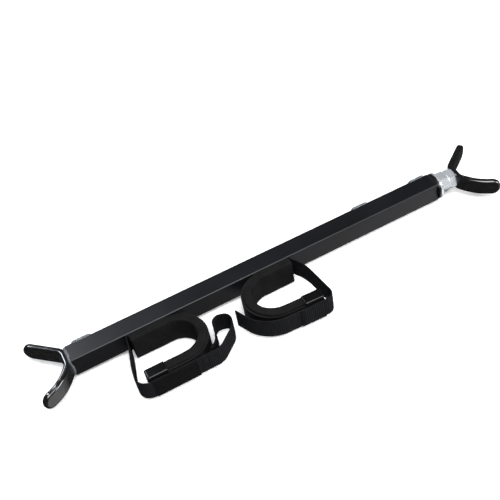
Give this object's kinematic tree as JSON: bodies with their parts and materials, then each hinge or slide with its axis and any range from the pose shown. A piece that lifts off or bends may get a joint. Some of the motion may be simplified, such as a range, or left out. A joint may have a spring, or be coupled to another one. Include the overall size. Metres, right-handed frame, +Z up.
{
  "type": "cargo bar",
  "caption": "Black steel channel bar with a fixed fork, a screw-jacked fork and two foam-lined cradles with hook-and-loop straps.",
  "frame": {"origin": "middle of the fixed fork's throat face, on the bar's axis", "axes": "+X along the bar from the fixed fork to the jacked fork, +Z up across the bar, along the width of the cradles, and -Y the side that the cradles stand on"},
  "size_m": [0.6093, 0.1451, 0.0336],
  "materials": {
    "bar_paint": "satin black powder coat",
    "disc_paint": "satin black powder coat",
    "zinc": "bright zinc plate",
    "weld": "weld metal under thin paint",
    "core_steel": "hot-rolled flat bar, covered",
    "vinyl": "glossy vinyl dip",
    "foam": "matt closed-cell foam",
    "strip_steel": "black steel strip",
    "cap_vinyl": "glossy vinyl cap",
    "webbing": "ribbed black webbing",
    "hook_tape": "hook-and-loop tape"
  },
  "bodies": {
    "bar": {"channel": "bar_paint", "left_insert": "bar_paint", "sliding_tube": "bar_paint", "end_disc": "disc_paint", "stitch_welds": "weld", "left_fork_core": "core_steel", "left_fork_weld": "weld", "left_fork_coating": "vinyl", "left_cradle_strip": "strip_steel", "left_foam_lining": "foam", "left_tip_cap": "cap_vinyl", "left_cradle_screws": "zinc", "left_cradle_locknuts": "zinc", "left_strap_anchor": "webbing", "right_cradle_strip": "strip_steel", "right_foam_lining": "foam", "right_tip_cap": "cap_vinyl", "right_cradle_screws": "zinc", "right_cradle_locknuts": "zinc", "right_strap_anchor": "webbing"},
    "washer": {"flat_washer": "zinc"},
    "jack_screw": {"jack_bolt": "zinc", "right_fork_core": "core_steel", "right_fork_weld": "weld", "right_fork_coating": "vinyl"},
    "nut": {"jack_nut": "zinc"},
    "left_strap_flap": {"left_strap": "webbing", "left_strap_patch": "hook_tape", "left_pull_loop": "webbing"},
    "right_strap_flap": {"right_strap": "webbing", "right_strap_patch": "webbing"}
  },
  "joints": [
    {"name": "fork_turn", "type": "hinge", "parent": "bar", "child": "washer", "pos_m": [0.5, 0, 0], "axis": [1, 0, 0], "continuous": true},
    {"name": "jack_slide", "type": "slide", "parent": "washer", "child": "jack_screw", "axis": [1, 0, 0], "range_m": [0, 0.127]},
    {"name": "nut_spin", "type": "hinge", "parent": "washer", "child": "nut", "pos_m": [0.508, 0, 0], "axis": [1, 0, 0], "range_deg": [-19810, 0]},
    {"name": "left_strap_open", "type": "hinge", "parent": "bar", "child": "left_strap_flap", "pos_m": [0.07325, -0.0153, 0], "axis": [0, 0, 1], "range_deg": [-65, 0]},
    {"name": "right_strap_open", "type": "hinge", "parent": "bar", "child": "right_strap_flap", "pos_m": [0.28205, -0.0153, 0], "axis": [0, 0, 1], "range_deg": [0, 65]}
  ],
  "couplings": [
    {"joint": "nut_spin", "follows": "jack_slide", "rad_per_m": -2721.1}
  ]
}
